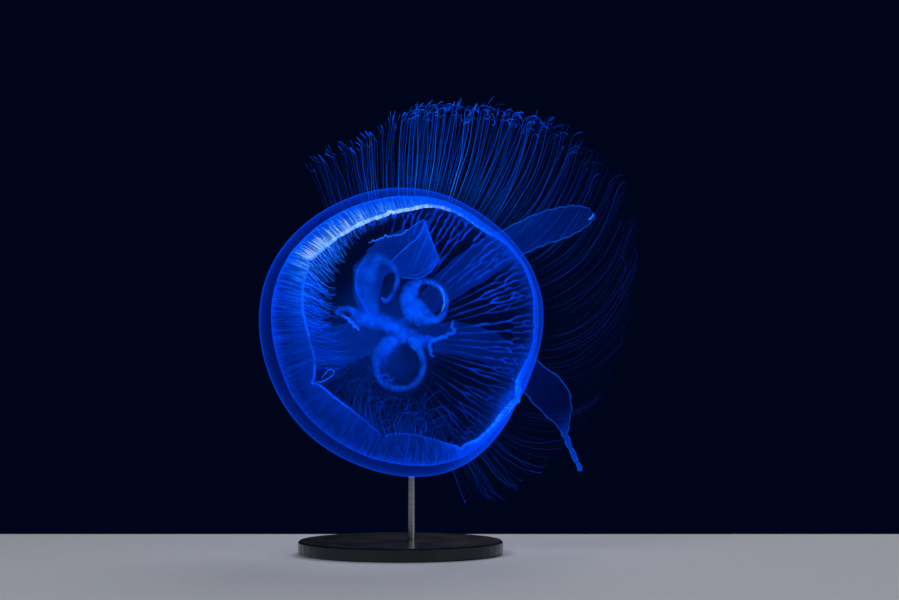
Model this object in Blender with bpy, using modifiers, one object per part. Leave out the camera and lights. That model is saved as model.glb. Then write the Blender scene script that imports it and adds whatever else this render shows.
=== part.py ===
"""A moon jellyfish, life size, as a still museum model on a display stand.

The animal is laid out in a frame of its own, the swim frame: origin at the centre of the
bell's widest section, +X to the animal's right as seen from in front of the crown, +Y up,
+Z out of the crown. to_world() leans it and stands it on the floor: the crown faces -Y, the
arms and tentacles trail towards +Y. The row's origin is the middle of the whole model's
box, at the level of the underside of the base. Metres, +Z up.
"""

import math

import bmesh
import bpy
from mathutils import Matrix, Vector

MM = 0.001
TURN = 2 * math.pi

# Bell
BELL_RADIUS = 127 * MM
# Waves on the widest section's circle: how many, their size as a share, where one peaks.
OUTLINE_WAVES = ((1, 0.011, 128), (3, 0.020, 38.5), (4, 0.009, 18), (5, 0.009, 11))
CROWN_HEIGHT = 58 * MM          # crown above the widest section
SKIRT_DEPTH = 45 * MM           # how far the in-curled skirt would reach below it
CROWN_THICKNESS = 13 * MM
MARGIN_THICKNESS = 1.8 * MM
THINNING = (0.55, 1.0)          # shares of the meridian over which the jelly thins out
NOTCH_DEPTH = 0.02
DOME_SHARE = 0.80               # of each meridian, the rest is the marginal lobes
JOIN_GAP = 0.3 * MM             # between neighbouring nodes
SHARP_EDGE = math.radians(50)   # edges sharper than this are drawn as creases
HANG_GAP = 0.9 * MM             # below the bell's inner surface
DOME_ROWS = 7                   # facets down the dome, and down each lobe
LOBE_ROWS = 3
COLUMNS = 5                     # facets across each lobe, and across the dome above it
PART_SHARE = 0.0022             # gap between dome and lobes, as a share of the meridian
NOTCH_SHARPNESS = 8             # how close to its notches a lobe's edge turns in
# The notches of the margin, where the sense organs sit: their angles round the bell and
# their distances from its axis. Each lobe's edge bows out between two of them (a share of
# the radius) and sways, out on one half and in on the other.
NOTCHES = [math.radians(a) for a in (2, 52, 98, 146, 209, 256, 295, 330)]
NOTCH_RADII = [r * MM for r in (116, 114, 104, 107, 99, 99, 114, 119)]
LOBE_BULGES = (0.18, 0.13, 0.07, 0.09, 0.0, -0.04, 0.045, -0.01)
LOBE_SWAYS = (-0.01, 0.01, 0.0, 0.04, 0.0, -0.01, 0.01, -0.03)

# Pose
LEAN = math.radians(14)
LEAN_TOWARDS = math.radians(200)
BELL_CENTRE = Vector((-44.35 * MM, -13.2 * MM, 195 * MM))

# Tentacles
TENTACLES_PER_LOBE = 8
TENTACLE_STEPS = (0, 0.18, 0.36, 0.54, 0.72, 0.88, 0.96, 1)
TENTACLE_ROOT = 0.985           # share of the meridian where they grow
TENTACLE_RADIUS = 0.9 * MM
TENTACLE_TIP_RADIUS = 0.55 * MM
TENTACLE_BOW = 0.10             # of its run, how far a tentacle bows out
HOOK = 6 * MM                   # bend of a tentacle's tip
HOOK_BACK = 0.7                 # of HOOK, how far the hook's end comes back
HOOK_START = 0.3                # of HOOK, at the step before the end
# Where the tips of the fan are: degrees round the margin, then mm right and up from the
# bell's middle. The rest of the tentacles are tucked in under the bell.
FAN = (
    (-95, 5, -140), (-80, 36, -144), (-64, 80, -148), (-50, 129, -122), (-42, 155, -96),
    (-30, 189, -44), (-20, 204, 2), (-10, 211, 45), (0, 213, 76), (10, 209, 103),
    (20, 198, 130), (35, 168, 161), (50, 125, 193), (60, 97, 200), (80, 36, 206),
    (98, -11, 192), (105, -30, 174), (120, -66, 162), (130, -84, 149), (150, -110, 110),
)
FAN_OPENS = (-88, -66)          # degrees over which tucked tentacles give way to the fan
FAN_CLOSES = (128, 150)
FAN_BACK = 34 * MM
TUCK_INWARD = 30 * MM
TUCK_BACK = 74 * MM
TUCK_CENTRE = Vector((-4 * MM, -12 * MM))
WELD = 0.02 * MM                # closes the ends of the tubes

# Stomach, gonads and arms
STOMACH = Vector((8 * MM, 4 * MM))
MOUTH_LEVEL = 18 * MM           # above the widest section
MOUTH_RADIUS = 9 * MM
MOUTH_FLARE = 1 * MM            # wider where it meets the stomach
MOUTH_FACETS = 16
MOUTH_RINGS = 4
MOUTH_LIPS = 2.5 * MM           # its four corners, at the open end
GONAD_DEPTH = 4.0 * MM          # half the thickness of a gonad's fullest part
GONAD_SIDES = 7
GONAD_STEPS = 20
# Each gonad is a folded horseshoe, thin on one side and swollen on the other. Stations
# along it: where (mm right and up from the bell's middle, as leaned) and its tube radius.
GONADS = {
    "gonad_upper_left": (
        (-17, 30.5, 1.8), (-12.5, 27.5, 2.1), (-8, 31.5, 2.1), (-4.2, 38.5, 2.2),
        (-2.5, 46.5, 2.4), (-4.8, 54.5, 2.4), (-10, 60.5, 3.0), (-18.5, 63.5, 5.0),
        (-27, 57.5, 8.3), (-30.5, 46.5, 8.8), (-30, 35, 8.4), (-28.5, 24, 7.4),
        (-23, 13.5, 6.0), (-16, 9.5, 4.0),
    ),
    "gonad_upper_right": (
        (20.5, 44.5, 2.4), (27, 43.5, 2.3), (35, 38, 2.5), (39.5, 28, 2.6),
        (38, 18, 2.6), (32.5, 11.5, 3.2), (25.5, 13, 5.0), (18, 19, 6.6),
        (12, 25.5, 7.6), (8.5, 32, 7.2), (11.5, 39.5, 4.4),
    ),
    "gonad_bottom": (
        (-10, -10, 3.2), (-13.5, -13.5, 4.2), (-19.5, -21.5, 4.4), (-21, -31, 3.1),
        (-18.5, -40.5, 2.4), (-10.5, -47, 2.5), (0, -49, 2.6), (10.5, -45.5, 2.6),
        (17.5, -38.5, 2.8), (20, -27, 2.9), (17.5, -16.5, 2.8),
    ),
    "gonad_left": (
        (-40, 8, 1.6), (-47, 10, 1.8), (-53, 12.5, 1.9), (-56, 17.5, 2.0),
        (-52.5, 21.5, 2.2), (-46.5, 22, 2.5), (-41.5, 19.5, 2.6),
    ),
}
ARM_THICKNESS = 1.4 * MM
ARM_PARTING = 0.002             # share of an arm's length left between its pieces
ARM_COLUMNS = 8
ARM_ROWS = {"root": 4, "blade": 4, "tail": 2}

# Stand
BASE_RADIUS = 90 * MM
BASE_HEIGHT = 12 * MM
BASE_BEVEL = 1.5 * MM
BASE_FACETS = 48
ROD_FACETS = 16
BASE_SHIFT = 6 * MM             # forward, to lie below the bell's thickest jelly
ROD_RADIUS = 3 * MM

COLOURS = {
    "jelly": (0.02, 0.11, 0.78), "margin": (0.05, 0.22, 0.95), "gonad": (0.03, 0.19, 0.95),
    "arm": (0.02, 0.13, 0.82), "base": (0.05, 0.05, 0.055), "steel": (0.62, 0.62, 0.64),
}


# ---------------------------------------------------------------- scene and materials

def clear_scene():
    for thing in list(bpy.data.objects):
        bpy.data.objects.remove(thing)


def material(name, roughness, metallic=0.0):
    made = bpy.data.materials.new(name)
    made.use_nodes = True
    surface = made.node_tree.nodes["Principled BSDF"]
    surface.inputs["Base Color"].default_value = (*COLOURS[name], 1)
    surface.inputs["Roughness"].default_value = roughness
    surface.inputs["Metallic"].default_value = metallic
    return made


def round_off(mesh):
    """Shades a mesh smooth, but for its sharp edges."""
    mesh.polygons.foreach_set("use_smooth", [True] * len(mesh.polygons))
    mesh.set_sharp_from_angle(angle=SHARP_EDGE)


def object_from(name, mesh_data, finish, collection):
    """Wraps a bmesh as a named object with outward faces."""
    bmesh.ops.recalc_face_normals(mesh_data, faces=mesh_data.faces)
    if mesh_data.calc_volume(signed=True) < 0:
        bmesh.ops.reverse_faces(mesh_data, faces=mesh_data.faces)
    mesh = bpy.data.meshes.new(name)
    mesh_data.to_mesh(mesh)
    mesh_data.free()
    round_off(mesh)
    mesh.materials.append(finish)
    thing = bpy.data.objects.new(name, mesh)
    collection.objects.link(thing)
    return thing


# ---------------------------------------------------------------- frames

def lean(point):
    """Turns a point of the swim frame so that the crown leans towards LEAN_TOWARDS."""
    axis = Vector((-math.sin(LEAN_TOWARDS), math.cos(LEAN_TOWARDS), 0))
    return Matrix.Rotation(LEAN, 3, axis) @ point


def to_world(point):
    """From the leaned frame (right, up, towards the front) to the row frame."""
    return BELL_CENTRE + Vector((point.x, -point.z, point.y))


def smooth(value, low, high):
    t = min(1.0, max(0.0, (value - low) / (high - low)))
    return t * t * (3 - 2 * t)


# ---------------------------------------------------------------- bell shape

def bell_radius(angle):
    """The widest section is a circle with soft corners, where the pulse has reached it."""
    swell = sum(
        size * math.cos(count * (angle - math.radians(way)))
        for count, size, way in OUTLINE_WAVES
    )
    return BELL_RADIUS * (1 + swell)


def margin_radius(angle):
    """The margin runs from notch to notch, bowed a little off the straight line."""
    for index, start in enumerate(NOTCHES):
        following = (index + 1) % len(NOTCHES)
        span = (NOTCHES[following] - start) % TURN
        passed = (angle - start) % TURN
        if passed <= span:
            break
    first, second = NOTCH_RADII[index], NOTCH_RADII[following]
    reach = first * math.sin(passed) + second * math.sin(span - passed)
    bulge = 1 + LOBE_BULGES[index] * math.sin(math.pi * passed / span)
    bulge += LOBE_SWAYS[index] * math.sin(TURN * passed / span)
    return bulge * first * second * math.sin(span) / reach


def bell_point(share, angle, depth):
    """A point of the bell. share runs from the crown (0) to the margin (1) along a meridian,
    and depth from the outer surface (0) to the inner one (1)."""
    radius = bell_radius(angle)
    last = math.pi - math.asin(min(0.98, margin_radius(angle) / radius))
    turn = share * last
    height = CROWN_HEIGHT if turn < math.pi / 2 else SKIRT_DEPTH
    outward = Vector((math.sin(turn) / radius, math.cos(turn) / height)).normalized()
    fade = 1 - smooth(share, *THINNING)
    thickness = MARGIN_THICKNESS + (CROWN_THICKNESS - MARGIN_THICKNESS) * fade
    across = radius * math.sin(turn) - depth * thickness * outward.x
    along = height * math.cos(turn) - depth * thickness * outward.y
    return Vector((across * math.cos(angle), across * math.sin(angle), along))


def inner_height(point):
    """Height of the bell's inner surface over a place near the crown."""
    angle = math.atan2(point.y, point.x)
    low, high = 0.0, 0.7
    for _ in range(30):
        middle = (low + high) / 2
        reached = bell_point(middle, angle, 1).to_2d().length
        low, high = (middle, high) if reached < point.length else (low, middle)
    return bell_point(low, angle, 1).z


def station(number):
    """Angle of a meridian, counted so that every lobe takes the same number of them."""
    index, column = divmod(number, COLUMNS)
    start = NOTCHES[index % len(NOTCHES)]
    span = (NOTCHES[(index + 1) % len(NOTCHES)] - start) % TURN
    return start + span * column / COLUMNS


def make_dome(collection, finish):
    """A sphere whose upper rings become the outer surface and lower rings the inner one."""
    rings = DOME_ROWS
    meridians = COLUMNS * len(NOTCHES)
    bm = bmesh.new()
    bmesh.ops.create_uvsphere(bm, u_segments=meridians, v_segments=2 * rings + 1, radius=1)
    for vertex in bm.verts:
        place = vertex.co.normalized()
        ring = math.acos(max(-1, min(1, place.z))) / math.pi * (2 * rings + 1)
        inside = ring > rings + 0.5
        share = DOME_SHARE * (2 * rings + 1 - ring if inside else ring) / rings
        turn = math.atan2(place.y, place.x) / TURN * meridians
        angle = station(round(turn) % meridians)
        vertex.co = to_world(lean(bell_point(share, angle, 1.0 if inside else 0.0)))
    return object_from("bell_dome", bm, finish, collection)


def bent_slab(columns, rows, place):
    """A closed slab, its corners given by place(along, across, side), each from 0 to 1."""
    bm = bmesh.new()
    bmesh.ops.create_grid(bm, x_segments=columns, y_segments=rows, size=0.5)
    floor = list(bm.faces)
    raised = bmesh.ops.extrude_face_region(bm, geom=floor, use_keep_orig=True)["geom"]
    for vertex in (g for g in raised if isinstance(g, bmesh.types.BMVert)):
        vertex.co.z = 1
    for vertex in bm.verts:
        vertex.co = place(vertex.co.x + 0.5, vertex.co.y + 0.5, vertex.co.z)
    return bm


# ---------------------------------------------------------------- tentacles

def fan_tip(turn):
    """Where the tip of a fanned tentacle is, for its place round the margin in degrees."""
    turn = min(max(turn, FAN[0][0]), FAN[-1][0])
    for (start, x0, y0), (end, x1, y1) in zip(FAN, FAN[1:]):
        if turn <= end:
            break
    share = (turn - start) / (end - start)
    return Vector((x0 + (x1 - x0) * share, y0 + (y1 - y0) * share)) * MM


def tentacle_path(angle):
    """Where a marginal tentacle runs. On the side that the bell swims away from they fan
    out behind the bell; on the other side they hang back under it. The tips hook over."""
    start = lean(bell_point(TENTACLE_ROOT, angle, 0.5))
    turn = (math.degrees(angle) + 110) % 360 - 110
    spread = smooth(turn, *FAN_OPENS) * (1 - smooth(turn, *FAN_CLOSES))
    far = fan_tip(turn)
    fanned = Vector((far.x, far.y, start.z - FAN_BACK))
    inward = (TUCK_CENTRE - start.to_2d()).normalized() * TUCK_INWARD
    tucked = start + Vector((inward.x, inward.y, -TUCK_BACK))
    tip = tucked.lerp(fanned, spread)
    outward = Vector((math.cos(angle), math.sin(angle), 0)) * (1 - spread)
    bow = (outward + Vector((0, 0, -1)) * spread) * TENTACLE_BOW
    run = tip - start
    path = [
        start.lerp(tip, t) + bow * run.length * math.sin(math.pi * t)
        for t in TENTACLE_STEPS
    ]
    aside = run.cross(Vector((0, 0, 1))).normalized()
    path[-2] += aside * HOOK * HOOK_START
    path[-1] += aside * HOOK - run.normalized() * HOOK * HOOK_BACK
    return path


def tube_object(name, path, start_radius, end_radius, collection):
    """A tapering tube as a closed mesh, from a bevelled curve with welded caps."""
    curve = bpy.data.curves.new(name, "CURVE")
    curve.dimensions = "3D"
    curve.bevel_depth = 1.0
    curve.bevel_resolution = 0
    curve.use_fill_caps = True
    spline = curve.splines.new("POLY")
    spline.points.add(len(path) - 1)
    for index, place in enumerate(path):
        share = index / (len(path) - 1)
        spline.points[index].co = (*to_world(place), 1)
        spline.points[index].radius = start_radius + (end_radius - start_radius) * share
    guide = bpy.data.objects.new(name + "_guide", curve)
    collection.objects.link(guide)
    bpy.context.view_layer.update()
    graph = bpy.context.evaluated_depsgraph_get()
    mesh = bpy.data.meshes.new_from_object(guide.evaluated_get(graph))
    bm = bmesh.new()
    bm.from_mesh(mesh)
    bmesh.ops.remove_doubles(bm, verts=bm.verts, dist=WELD)
    bpy.data.objects.remove(guide)
    return bm


def join_solids(body, cutters, collection):
    """Unites the body with a mesh of separate tubes that grow out of it."""
    helper = bpy.data.objects.new(body.name + "_tubes", cutters)
    helper.hide_render = True
    helper.display_type = "WIRE"
    collection.objects.link(helper)
    union = body.modifiers.new("Tentacles", "BOOLEAN")
    union.operation = "UNION"
    union.solver = "EXACT"
    union.object = helper


def make_lobe(index, collection, helpers, finish):
    """One of the eight lobes of the margin, with the tentacles that grow along its edge."""
    start = NOTCHES[index]
    span = (NOTCHES[(index + 1) % len(NOTCHES)] - start) % TURN
    side_gap = JOIN_GAP / 2 / NOTCH_RADII[index]
    top = DOME_SHARE + PART_SHARE

    def place(along, across, side):
        angle = start + side_gap + (span - 2 * side_gap) * along
        lappet = NOTCH_DEPTH * abs(2 * along - 1) ** NOTCH_SHARPNESS
        share = top + (1 - lappet - top) * across
        return to_world(lean(bell_point(share, angle, side)))

    slab = bent_slab(COLUMNS, LOBE_ROWS, place)
    lobe = object_from(f"margin_lobe_{index + 1}", slab, finish, collection)
    tubes = bmesh.new()
    for number in range(TENTACLES_PER_LOBE):
        share = (number + 0.5) / TENTACLES_PER_LOBE
        path = tentacle_path(start + span * share)
        tube = tube_object("tentacle", path, TENTACLE_RADIUS, TENTACLE_TIP_RADIUS, helpers)
        mesh = bpy.data.meshes.new("tentacle")
        tube.to_mesh(mesh)
        tube.free()
        tubes.from_mesh(mesh)
        bpy.data.meshes.remove(mesh)
    bmesh.ops.recalc_face_normals(tubes, faces=tubes.faces)
    joined = bpy.data.meshes.new(f"tentacles_{index + 1}")
    tubes.to_mesh(joined)
    tubes.free()
    join_solids(lobe, joined, helpers)
    return lobe


# ---------------------------------------------------------------- gonads and mouth

def along_stations(stations, share):
    """Catmull-Rom interpolation of the stations' numbers."""
    last = len(stations) - 1
    at = min(share * last, last - 1e-9)
    here = int(at)
    t = at - here
    p0, p1 = stations[max(0, here - 1)], stations[here]
    p2, p3 = stations[here + 1], stations[min(last, here + 2)]
    found = []
    for a, b, c, d in zip(p0, p1, p2, p3):
        curve = 2 * b + (c - a) * t + (2 * a - 5 * b + 4 * c - d) * t ** 2
        curve += (3 * b - a - 3 * c + d) * t ** 3
        found.append(curve / 2)
    return found


def under_roof(x, y, drop):
    """The place a drop below the bell's inner surface that leans over x, y."""
    flat = Vector((x, y))
    for _ in range(6):
        place = Vector((flat.x, flat.y, inner_height(flat) - drop))
        leaned = lean(place)
        flat += Vector((x - leaned.x, y - leaned.y))
    return leaned


def make_gonad(name, stations, collection, finish):
    """A horseshoe-shaped gonad under the bell."""
    def place(along, around):
        x, y, size = along_stations(stations, along)
        ahead = along_stations(stations, min(1, along + 0.01))
        behind = along_stations(stations, max(0, along - 0.01))
        across = Vector((behind[1] - ahead[1], ahead[0] - behind[0])).normalized()
        tube = size * MM
        flat = Vector((x, y)) * MM + across * tube * math.cos(around)
        tall = min(tube, GONAD_DEPTH)
        return to_world(under_roof(flat.x, flat.y, HANG_GAP + tall * (1 - math.sin(around))))

    bm = bmesh.new()
    bmesh.ops.create_cone(
        bm, cap_ends=True, segments=GONAD_SIDES, radius1=1, radius2=1, depth=1,
    )
    long_edges = [e for e in bm.edges if abs(e.verts[0].co.z - e.verts[1].co.z) > 0.5]
    bmesh.ops.subdivide_edges(bm, edges=long_edges, cuts=GONAD_STEPS - 1)
    for vertex in bm.verts:
        vertex.co = place(vertex.co.z + 0.5, math.atan2(vertex.co.y, vertex.co.x))
    return object_from(name, bm, finish, collection)


def make_manubrium(collection, finish):
    """The short four-cornered stalk that carries the mouth and the roots of the arms."""
    bm = bmesh.new()
    bmesh.ops.create_cone(
        bm, cap_ends=True, segments=MOUTH_FACETS, radius1=1, radius2=1, depth=1,
    )
    upright = [e for e in bm.edges if abs(e.verts[0].co.z - e.verts[1].co.z) > 0.5]
    bmesh.ops.subdivide_edges(bm, edges=upright, cuts=MOUTH_RINGS - 1)
    for vertex in bm.verts:
        angle = math.atan2(vertex.co.y, vertex.co.x)
        rise = vertex.co.z + 0.5
        lips = MOUTH_LIPS * math.cos(4 * angle) * (1 - rise)
        width = MOUTH_RADIUS + MOUTH_FLARE * rise ** 2 + lips
        flat = STOMACH + Vector((math.cos(angle), math.sin(angle))) * width
        top = inner_height(flat) - HANG_GAP
        level = MOUTH_LEVEL + (top - MOUTH_LEVEL) * rise
        vertex.co = to_world(lean(Vector((flat.x, flat.y, level))))
    return object_from("manubrium", bm, finish, collection)


# ---------------------------------------------------------------- oral arms

# Each arm is a folded sheet between two edges. Its stations, from the mouth to the tip, hold
# the leaned frame's right and up of one edge and of the other, how far towards the crown
# the sheet lies there, and how deep it is folded away from the straight line between the edges.
ARMS = {
    "oral_arm_upper_right": (2, (
        (9, 14, 13, 5, 9, 0), (25, 43, 38, 24, 1, 7), (57, 72, 78, 48, -16, 9),
        (89, 90, 106, 67, -33, 8), (120, 105, 127, 77, -47, 7), (144, 112, 150, 85, -58, 6),
        (162, 113, 167, 95, -65, 4), (172, 108, 175, 104, -70, 0),
    )),
    "oral_arm_lower_right": (3, (
        (13, 3, 9, -6, 9, 0), (44, 8, 28, -16, 3, 7), (70, 4, 55, -22, -8, 8),
        (93, -7, 84, -31, -23, 8), (122, -27, 105, -50, -42, 8), (147, -48, 121, -68, -58, 7),
        (153, -72, 140, -86, -71, 4), (150, -92, 145, -95, -80, 1),
        (157, -111, 153, -112, -88, 0), (164, -127, 161, -128, -94, 0),
    )),
    "oral_arm_top": (2, (
        (-9, 12, 2, 12, 9, 0), (-36, 22, -19, 17, 3, 5), (-38, 45, -18, 38, -3, 5),
        (-32, 67, -13, 51, -10, 4), (-18, 83, -2, 52, -18, 4), (4, 91, 16, 51, -25, 3),
        (17, 98, 30, 58, -25, 2), (20, 97, 34, 63, -15, 0), (13, 84, 25, 52, -8, 2),
        (3, 74, 13, 48, -6, 3), (-8, 63, 1, 47, -7, 2),
    )),
    "oral_arm_left": (2, (
        (-9, 7, -9, -4, 9, 0), (-33, 10, -28, -20, 2, 6), (-60, 4, -55, -28, -8, 7),
        (-83, -5, -80, -28, -18, 5), (-101, -17, -100, -24, -26, 1),
    )),
}
ARM_PIECES = ("root", "blade", "tail")


def straight_point(stations, share, across):
    """A point on the line between an arm's two edges (across 0 to 1)."""
    x0, y0, x1, y1, near, _ = along_stations(stations, share)
    return Vector((x0 + (x1 - x0) * across, y0 + (y1 - y0) * across, near)) * MM


def sheet_point(stations, share, across, side):
    """A point of an arm. side is 0 on the sheet's one face and 1 on its other."""
    here = straight_point(stations, share, across)
    along = straight_point(stations, min(1, share + 0.004), across)
    along -= straight_point(stations, max(0, share - 0.004), across)
    width = straight_point(stations, share, 1) - straight_point(stations, share, 0)
    normal = along.cross(width).normalized()
    fold = along_stations(stations, share)[5] * MM * 4 * across * (1 - across)
    return here + normal * (fold + ARM_THICKNESS * (side - 0.5))


def make_arm(name, pieces, stations, collection, finish):
    """An oral arm, parted across into its lengths."""
    for number, piece in enumerate(ARM_PIECES[:pieces]):
        low, high = number / pieces, (number + 1) / pieces
        gap = ARM_PARTING if number else 0.0
        rows = ARM_ROWS[piece]

        def place(along, across, side, low=low + gap, high=high):
            return to_world(sheet_point(stations, low + (high - low) * along, across, side))

        bm = bent_slab(ARM_COLUMNS, rows, place)
        object_from(f"{name}_{piece}", bm, finish, collection)


# ---------------------------------------------------------------- stand

def lowest_bell_point():
    """The lowest place of the bell's outer surface in the row frame."""
    places = [
        to_world(lean(bell_point(share / 60, math.radians(angle), 0)))
        for share in range(24, 58) for angle in range(230, 310, 2)
    ]
    return min(places, key=lambda place: place.z)


def make_stand(collection, base_finish, rod_finish):
    bpy.ops.mesh.primitive_cylinder_add(
        vertices=BASE_FACETS, radius=BASE_RADIUS, depth=BASE_HEIGHT,
        location=(BELL_CENTRE.x, BELL_CENTRE.y - BASE_SHIFT, BASE_HEIGHT / 2),
    )
    base = bpy.context.object
    base.name = "stand_base"
    base.data.materials.append(base_finish)
    edge = base.modifiers.new("Edge", "BEVEL")
    edge.width = BASE_BEVEL
    edge.segments = 1
    edge.limit_method = "ANGLE"
    touch = lowest_bell_point()
    low, high = BASE_HEIGHT + JOIN_GAP, touch.z - JOIN_GAP
    bpy.ops.mesh.primitive_cylinder_add(
        vertices=ROD_FACETS, radius=ROD_RADIUS, depth=high - low,
        location=(touch.x, touch.y, (low + high) / 2),
    )
    rod = bpy.context.object
    rod.name = "stand_rod"
    rod.data.materials.append(rod_finish)
    for thing in (base, rod):
        round_off(thing.data)
        for owner in list(thing.users_collection):
            owner.objects.unlink(thing)
        collection.objects.link(thing)


def main():
    clear_scene()
    collection = bpy.data.collections.new("moon_jellyfish")
    helpers = bpy.data.collections.new("tentacle_tubes")
    for group in (collection, helpers):
        bpy.context.scene.collection.children.link(group)
    jelly, margin = material("jelly", 0.25), material("margin", 0.3)
    gonad, arm = material("gonad", 0.4), material("arm", 0.3)
    make_dome(collection, jelly)
    for index in range(len(NOTCHES)):
        make_lobe(index, collection, helpers, margin)
    for name, numbers in GONADS.items():
        make_gonad(name, numbers, collection, gonad)
    make_manubrium(collection, gonad)
    for name, (pieces, stations) in ARMS.items():
        make_arm(name, pieces, stations, collection, arm)
    make_stand(collection, material("base", 0.35), material("steel", 0.3, 1.0))


main()
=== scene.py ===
# %% [markdown]
# # A moon jellyfish, life size, held by a display stand
#
# A moon jellyfish is nearly all clear jelly. A saucer-shaped bell carries hundreds of fine
# tentacles round its rim, four horseshoe gonads lie under its crown, and four frilled arms
# trail from the mouth. Here it swims towards the viewer: the crown faces -Y, and arms and
# tentacles stream away behind. The CAD model gives the places and sizes. Each piece below
# is modelled to lie where its CAD node lies, in finer detail, and then takes its place.

import math
import random
from functools import partialmethod
from types import SimpleNamespace

import bmesh
import bpy
from mathutils import Matrix, Vector, noise


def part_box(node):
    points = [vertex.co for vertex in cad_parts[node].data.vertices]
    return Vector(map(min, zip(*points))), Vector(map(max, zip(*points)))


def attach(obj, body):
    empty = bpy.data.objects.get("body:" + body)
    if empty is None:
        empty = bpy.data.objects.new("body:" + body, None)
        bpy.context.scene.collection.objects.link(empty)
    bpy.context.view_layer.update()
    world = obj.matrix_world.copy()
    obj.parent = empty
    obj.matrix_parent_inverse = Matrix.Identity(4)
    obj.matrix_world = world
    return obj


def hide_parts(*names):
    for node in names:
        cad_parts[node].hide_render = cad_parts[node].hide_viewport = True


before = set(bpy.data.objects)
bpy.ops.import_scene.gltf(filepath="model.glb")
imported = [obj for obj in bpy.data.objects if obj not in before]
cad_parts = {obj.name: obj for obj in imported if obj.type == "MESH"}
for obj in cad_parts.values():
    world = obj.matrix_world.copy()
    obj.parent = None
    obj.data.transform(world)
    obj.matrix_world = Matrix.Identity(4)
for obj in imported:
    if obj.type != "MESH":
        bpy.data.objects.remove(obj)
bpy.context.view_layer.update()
bpy.ops.object.select_all(action="DESELECT")

MM = 0.001
TURN = 2 * math.pi
chance = random.Random(11)

# %% [markdown]
# ## The shape of the bell
#
# Every piece hangs on the bell, so its shape comes first, as a function. It is the CAD
# model's own: along each meridian `share` runs from the crown (0) over the widest section to
# the margin (1), and `depth` from the outer surface (0) to the inner one (1). The margin is
# a soft polygon with a notch at each corner, where the sense organs sit. A lathe could give
# a bell, but not one caught in mid-pulse with its rim folded in on one side only.
#
# Points are reckoned from the middle of the widest section, +X right, +Y up and +Z out of
# the crown, and the bell leans. `to_world` takes a leaned point to the CAD's frame. The CAD
# dome's box says where the middle lies.

# %% Bell shape
BELL_RADIUS = 127 * MM
OUTLINE_WAVES = ((1, 0.011, 128), (3, 0.020, 38.5), (4, 0.009, 18), (5, 0.009, 11))
CROWN_HEIGHT = 58 * MM
SKIRT_DEPTH = 45 * MM
CROWN_THICKNESS = 13 * MM
MARGIN_THICKNESS = 1.8 * MM
THINS_OUT = (0.55, 1.0)
WIDEST_MARGIN = 0.98
DOME_ENDS = 0.8
DOME_ROWS, DOME_COLUMNS = 40, 120
NOTCHES = [math.radians(a) for a in (2, 52, 98, 146, 209, 256, 295, 330)]
SPANS = [(after - at) % TURN for at, after in zip(NOTCHES, NOTCHES[1:] + NOTCHES[:1])]
NOTCH_RADII = [r * MM for r in (116, 114, 104, 107, 99, 99, 114, 119)]
LOBE_BULGES = (0.18, 0.13, 0.07, 0.09, 0.0, -0.04, 0.045, -0.01)
LOBE_SWAYS = (-0.01, 0.01, 0.0, 0.04, 0.0, -0.01, 0.01, -0.03)
LEAN = math.radians(14)
LEAN_TOWARDS = math.radians(200)
LEAN_TURN = Matrix.Rotation(
    LEAN, 3, Vector((-math.sin(LEAN_TOWARDS), math.cos(LEAN_TOWARDS), 0)),
)


def smooth(value, low, high):
    t = min(1.0, max(0.0, (value - low) / (high - low)))
    return t * t * (3 - 2 * t)


def bell_radius(angle):
    swell = sum(
        size * math.cos(count * (angle - math.radians(way)))
        for count, size, way in OUTLINE_WAVES
    )
    return BELL_RADIUS * (1 + swell)


def lobe_at(angle):
    """(index of the lobe, angle passed since its notch, its span)"""
    for index, (start, span) in enumerate(zip(NOTCHES, SPANS)):
        passed = (angle - start) % TURN
        if passed <= span:
            return index, passed, span
    return 0, 0.0, SPANS[0]


def margin_radius(angle):
    index, passed, span = lobe_at(angle)
    first, second = NOTCH_RADII[index], NOTCH_RADII[(index + 1) % len(NOTCHES)]
    reach = first * math.sin(passed) + second * math.sin(span - passed)
    bulge = 1 + LOBE_BULGES[index] * math.sin(math.pi * passed / span)
    bulge += LOBE_SWAYS[index] * math.sin(TURN * passed / span)
    return bulge * first * second * math.sin(span) / reach


def bell_point(share, angle, depth):
    radius = bell_radius(angle)
    last = math.pi - math.asin(min(WIDEST_MARGIN, margin_radius(angle) / radius))
    turn = share * last
    height = CROWN_HEIGHT if turn < math.pi / 2 else SKIRT_DEPTH
    outward = Vector((math.sin(turn) / radius, math.cos(turn) / height)).normalized()
    fade = 1 - smooth(share, *THINS_OUT)
    thickness = MARGIN_THICKNESS + (CROWN_THICKNESS - MARGIN_THICKNESS) * fade
    across = radius * math.sin(turn) - depth * thickness * outward.x
    along = height * math.cos(turn) - depth * thickness * outward.y
    return Vector((across * math.cos(angle), across * math.sin(angle), along))


def lean(point):
    return LEAN_TURN @ point


dome_low, dome_high = (Vector(corner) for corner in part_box("bell_dome"))
xs, ys, zs = zip(*(
    lean(bell_point(DOME_ENDS * row / DOME_ROWS, TURN * column / DOME_COLUMNS, 0))
    for row in range(DOME_ROWS + 1) for column in range(DOME_COLUMNS)
))
BELL_CENTRE = Vector((
    (dome_low.x + dome_high.x - min(xs) - max(xs)) / 2,
    dome_low.y + max(zs),
    (dome_low.z + dome_high.z - min(ys) - max(ys)) / 2,
))


def to_world(point):
    return BELL_CENTRE + Vector((point.x, -point.z, point.y))


# %% [markdown]
# ## The camera
#
# The bell's widest section is seen almost square on, so the camera looks straight along +Y
# from far away with a long lens, and the view hardly narrows with depth. VIEW_WIDTH is how
# much of the world it takes in at that section. The bell sits left of the middle, because
# its tentacles are blown out to the right.

# %% Camera
VIEW_WIDTH = 0.79112
VIEW_DISTANCE = 2.6
BELL_ASIDE, BELL_BELOW = 0.04268, 0.02816
SENSOR = 36.0
SEES_AS_FAR_AS = 20

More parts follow.
